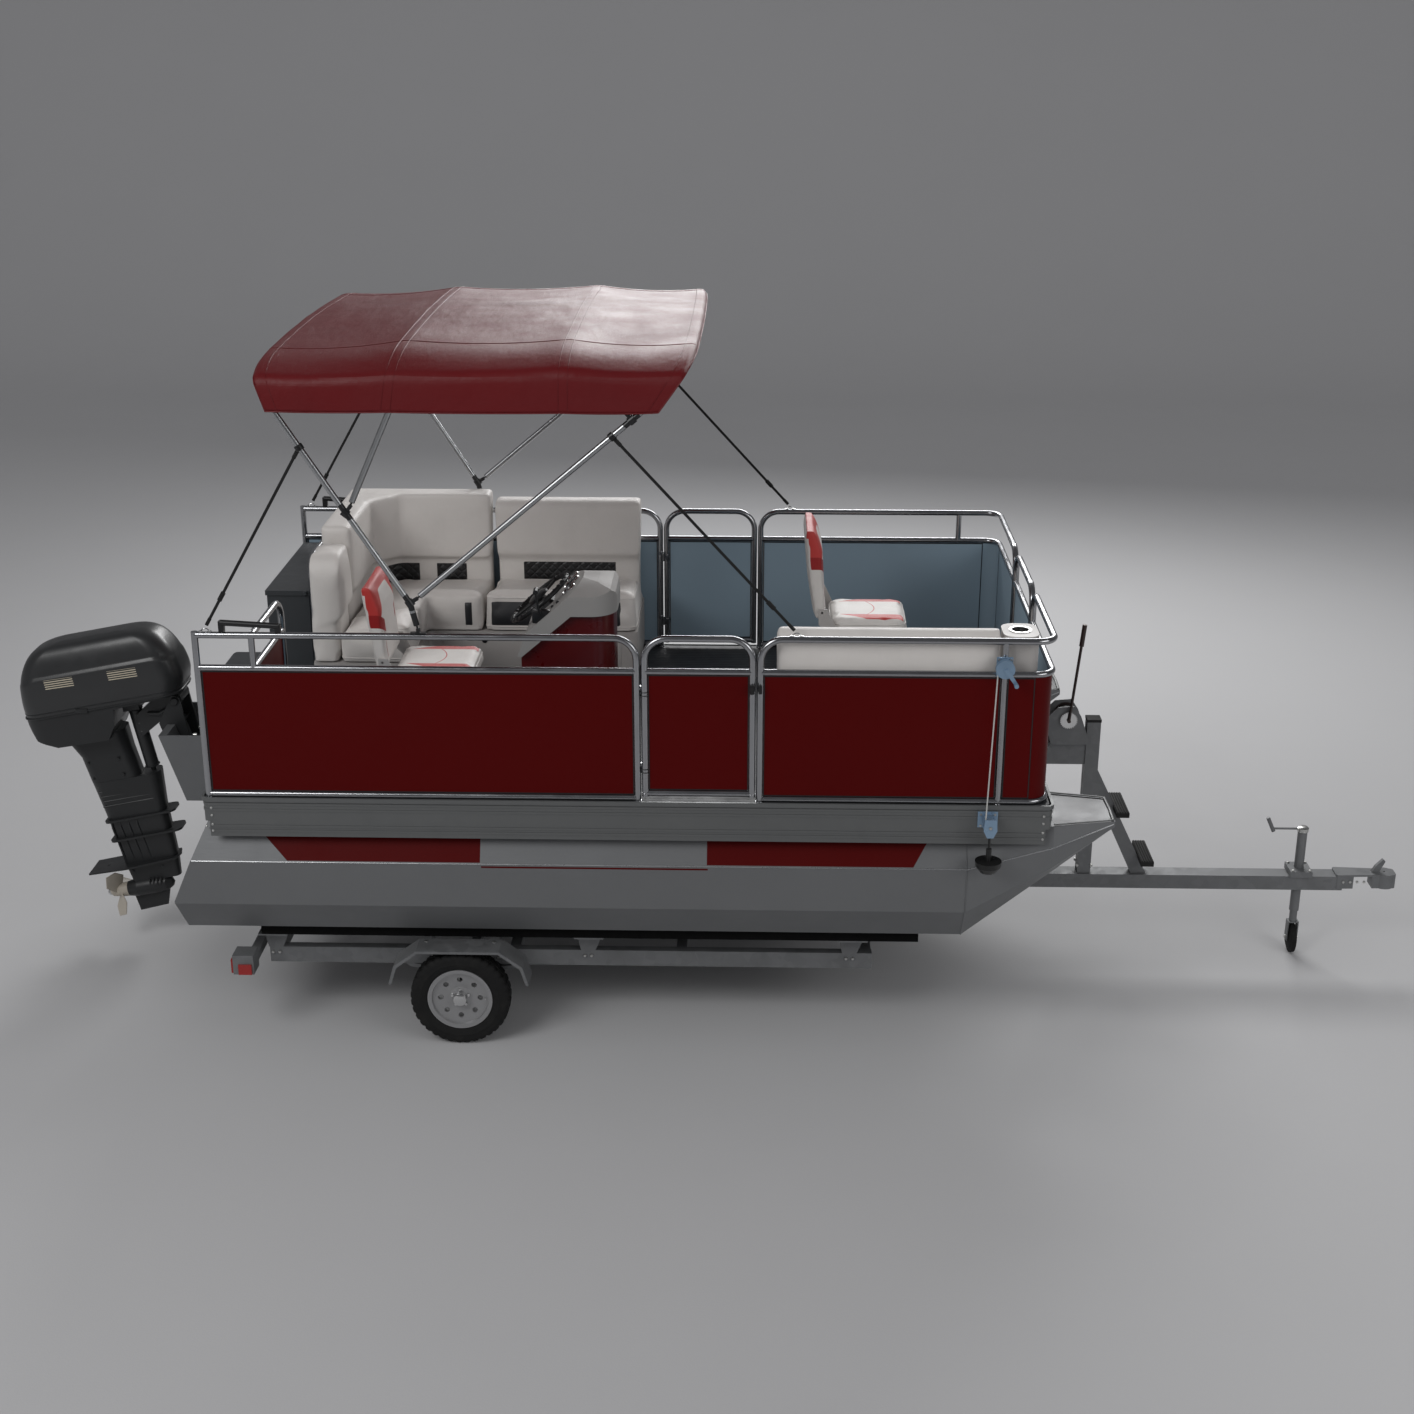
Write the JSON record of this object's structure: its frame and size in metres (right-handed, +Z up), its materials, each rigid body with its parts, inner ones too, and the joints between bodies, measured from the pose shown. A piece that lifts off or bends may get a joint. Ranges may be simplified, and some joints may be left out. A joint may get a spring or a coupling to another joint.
{
  "type": "pontoon boat on a single-axle trailer",
  "caption": "Small pontoon boat with a railed deck, folding canopy, helm, lounge seating and a steerable outboard, parked on a single-axle bunk trailer with a jack wheel.",
  "frame": {"origin": "on the ground under the middle of the overall box; the boat's centreline is the plane Y = 0.040, because the anchor overhangs to starboard", "axes": "+X towards the bow and the trailer's coupler, +Y to port, +Z up"},
  "size_m": [7.799, 2.655, 3.7073],
  "materials": {
    "hull_aluminium": "satin",
    "deck_vinyl": "matte",
    "rail_aluminium": "polished",
    "panel_red": "gloss",
    "cabinet_grey": "satin",
    "furniture_plastic": "satin",
    "upholstery": "satin",
    "stainless": "polished",
    "black_plastic": "satin",
    "winch_blue": "satin",
    "rope": "matte",
    "anchor_black": "satin",
    "canopy_red": "matte",
    "motor_charcoal": "satin",
    "propeller_beige": "satin",
    "galvanised": "satin",
    "bunk_carpet": "matte",
    "lens_red": "gloss",
    "rim_silver": "gloss",
    "tyre": "matte",
    "winch_dark": "satin"
  },
  "bodies": {
    "boat_on_trailer": {"anchor_gear": "winch_blue", "anchor_rope": "rope", "bench_backrest": "upholstery", "bench_cushion": "upholstery", "bimini_mounts": "black_plastic", "cup_holder": "stainless", "deck_floor": "deck_vinyl", "deck_frame": "hull_aluminium", "deck_skirt": "hull_aluminium", "fence_panels_port": "panel_red", "fence_panels_starboard": "panel_red", "fence_rails_port": "rail_aluminium", "fence_rails_starboard": "rail_aluminium", "helm_console": "panel_red", "helm_dash": "furniture_plastic", "lounge_backrests": "upholstery", "lounge_cushions": "upholstery", "mushroom_anchor": "anchor_black", "outboard_clamp": "black_plastic", "pontoons": "hull_aluminium", "seat_bases": "furniture_plastic", "seat_pedestals": "rail_aluminium", "stand_treads": "black_plastic", "stern_boxes": "cabinet_grey", "tail_lamp_lenses": "lens_red", "trailer_axle": "galvanised", "trailer_bunks": "bunk_carpet", "trailer_coupler": "galvanised", "trailer_fenders": "galvanised", "trailer_frame": "galvanised", "trailer_jack": "galvanised", "winch_stand": "galvanised"},
    "starboard_wheel": {"wheel_rim_starboard": "rim_silver", "tyre_starboard": "tyre"},
    "port_wheel": {"wheel_rim_port": "rim_silver", "tyre_port": "tyre"},
    "jack_wheel": {"jack_wheel": "tyre"},
    "helm_wheel": {"helm_wheel": "black_plastic"},
    "motor_swivel": {"outboard_swivel": "black_plastic"},
    "motor_leg": {"outboard_leg": "motor_charcoal", "outboard_cowl": "motor_charcoal"},
    "propeller": {"propeller": "propeller_beige"},
    "gate_starboard": {"gate_starboard_frame": "rail_aluminium", "gate_starboard_panel": "panel_red"},
    "gate_port": {"gate_port_frame": "rail_aluminium", "gate_port_panel": "panel_red"},
    "gate_bow": {"gate_bow_frame": "rail_aluminium", "gate_bow_panel": "panel_red"},
    "driver_seat": {"driver_seat": "upholstery"},
    "driver_seat_back": {"driver_seat_back": "upholstery"},
    "bow_seat": {"bow_seat": "upholstery"},
    "bow_seat_back": {"bow_seat_back": "upholstery"},
    "anchor_winch_drum": {"anchor_winch_drum": "winch_blue"},
    "winch_lever": {"winch_reel": "winch_dark"},
    "stern_locker_lid": {"stern_locker_lid": "cabinet_grey"},
    "bimini_main": {"bimini_main_bow": "rail_aluminium", "bimini_canopy": "canopy_red"},
    "bimini_mid": {"bimini_mid_bow": "rail_aluminium"},
    "bimini_front": {"bimini_front_bow": "rail_aluminium"},
    "bimini_second": {"bimini_second_bow": "rail_aluminium"}
  },
  "joints": [
    {"name": "starboard_wheel_spin", "type": "hinge", "parent": "boat_on_trailer", "child": "starboard_wheel", "pos_m": [-1.334, -1.102, 0.265], "axis": [0, 1, 0], "continuous": true},
    {"name": "port_wheel_spin", "type": "hinge", "parent": "boat_on_trailer", "child": "port_wheel", "pos_m": [-1.334, 1.182, 0.265], "axis": [0, 1, 0], "continuous": true},
    {"name": "jack_wheel_spin", "type": "hinge", "parent": "boat_on_trailer", "child": "jack_wheel", "pos_m": [3.342, 0.04, 0.09], "axis": [1, 0, 0], "continuous": true},
    {"name": "outboard_tilt", "type": "hinge", "parent": "boat_on_trailer", "child": "motor_swivel", "pos_m": [-3.043, 0.04, 1.524], "axis": [0, 1, 0], "range_deg": [0, 65]},
    {"name": "outboard_steer", "type": "hinge", "parent": "motor_swivel", "child": "motor_leg", "pos_m": [-3.30804, 0.04, 1.47248], "axis": [-0.1908, 0, 0.9816], "range_deg": [-35, 35]},
    {"name": "propeller_spin", "type": "hinge", "parent": "motor_leg", "child": "propeller", "pos_m": [-3.50264, 0.04, 0.30388], "axis": [0.9816, 0, 0.1908], "continuous": true},
    {"name": "helm_wheel_turn", "type": "hinge", "parent": "boat_on_trailer", "child": "helm_wheel", "pos_m": [-0.933, -0.384, 2.249], "axis": [-0.6293, 0, 0.7771], "range_deg": [-440, 440]},
    {"name": "gate_starboard_hinge", "type": "hinge", "parent": "boat_on_trailer", "child": "gate_starboard", "pos_m": [-0.3565, -1.1625, 1.429], "axis": [0, 0, 1], "range_deg": [0, 90]},
    {"name": "gate_port_hinge", "type": "hinge", "parent": "boat_on_trailer", "child": "gate_port", "pos_m": [-0.3565, 1.2425, 1.429], "axis": [0, 0, -1], "range_deg": [0, 90]},
    {"name": "gate_bow_hinge", "type": "hinge", "parent": "boat_on_trailer", "child": "gate_bow", "pos_m": [1.655, -0.3255, 1.429], "axis": [0, 0, 1], "range_deg": [0, 90]},
    {"name": "driver_seat_swivel", "type": "hinge", "parent": "boat_on_trailer", "child": "driver_seat", "pos_m": [-1.495, -0.384, 1.769], "axis": [0, 0, 1], "continuous": true},
    {"name": "driver_back_fold", "type": "hinge", "parent": "driver_seat", "child": "driver_seat_back", "pos_m": [-1.745, -0.384, 1.959], "axis": [0, 1, 0], "range_deg": [0, 88]},
    {"name": "bow_seat_swivel", "type": "hinge", "parent": "boat_on_trailer", "child": "bow_seat", "pos_m": [0.827, 0.316, 1.839], "axis": [0, 0, 1], "continuous": true},
    {"name": "bow_back_fold", "type": "hinge", "parent": "bow_seat", "child": "bow_seat_back", "pos_m": [0.577, 0.316, 2.029], "axis": [0, 1, 0], "range_deg": [0, 88]},
    {"name": "anchor_winch_spin", "type": "hinge", "parent": "boat_on_trailer", "child": "anchor_winch_drum", "pos_m": [1.429, -1.23, 2.167], "axis": [0, 1, 0], "continuous": true},
    {"name": "winch_lever_swing", "type": "hinge", "parent": "boat_on_trailer", "child": "winch_lever", "pos_m": [1.957, 0.04, 1.449], "axis": [0, 1, 0], "range_deg": [-28, 70]},
    {"name": "stern_locker_lid_hinge", "type": "hinge", "parent": "boat_on_trailer", "child": "stern_locker_lid", "pos_m": [-2.423, 1.2113, 2.069], "axis": [-1, 0, 0], "range_deg": [0, 80]},
    {"name": "bimini_swing", "type": "hinge", "parent": "boat_on_trailer", "child": "bimini_main", "pos_m": [-1.445, 0.04, 2.326], "axis": [0, 1, 0], "range_deg": [-38, 0]},
    {"name": "bimini_front_fold", "type": "hinge", "parent": "bimini_main", "child": "bimini_front", "pos_m": [-1.4476, 0.04, 2.4843], "axis": [0, 1, 0], "range_deg": [-65, 0], "deforming": ["bimini_canopy"]},
    {"name": "bimini_mid_fold", "type": "hinge", "parent": "bimini_main", "child": "bimini_mid", "pos_m": [-1.7424, 0.04, 2.945], "axis": [0, 1, 0], "range_deg": [-46, 0]},
    {"name": "bimini_second_fold", "type": "hinge", "parent": "bimini_front", "child": "bimini_second", "pos_m": [-0.4039, 0.04, 3.40304], "axis": [0, 1, 0], "range_deg": [-54, 0]}
  ],
  "couplings": [
    {"joint": "helm_wheel_turn", "follows": "outboard_steer", "ratio": 12},
    {"joint": "bimini_front_fold", "follows": "bimini_swing", "ratio": 1.7},
    {"joint": "bimini_mid_fold", "follows": "bimini_swing", "ratio": 1.2},
    {"joint": "bimini_second_fold", "follows": "bimini_swing", "ratio": 1.4}
  ]
}
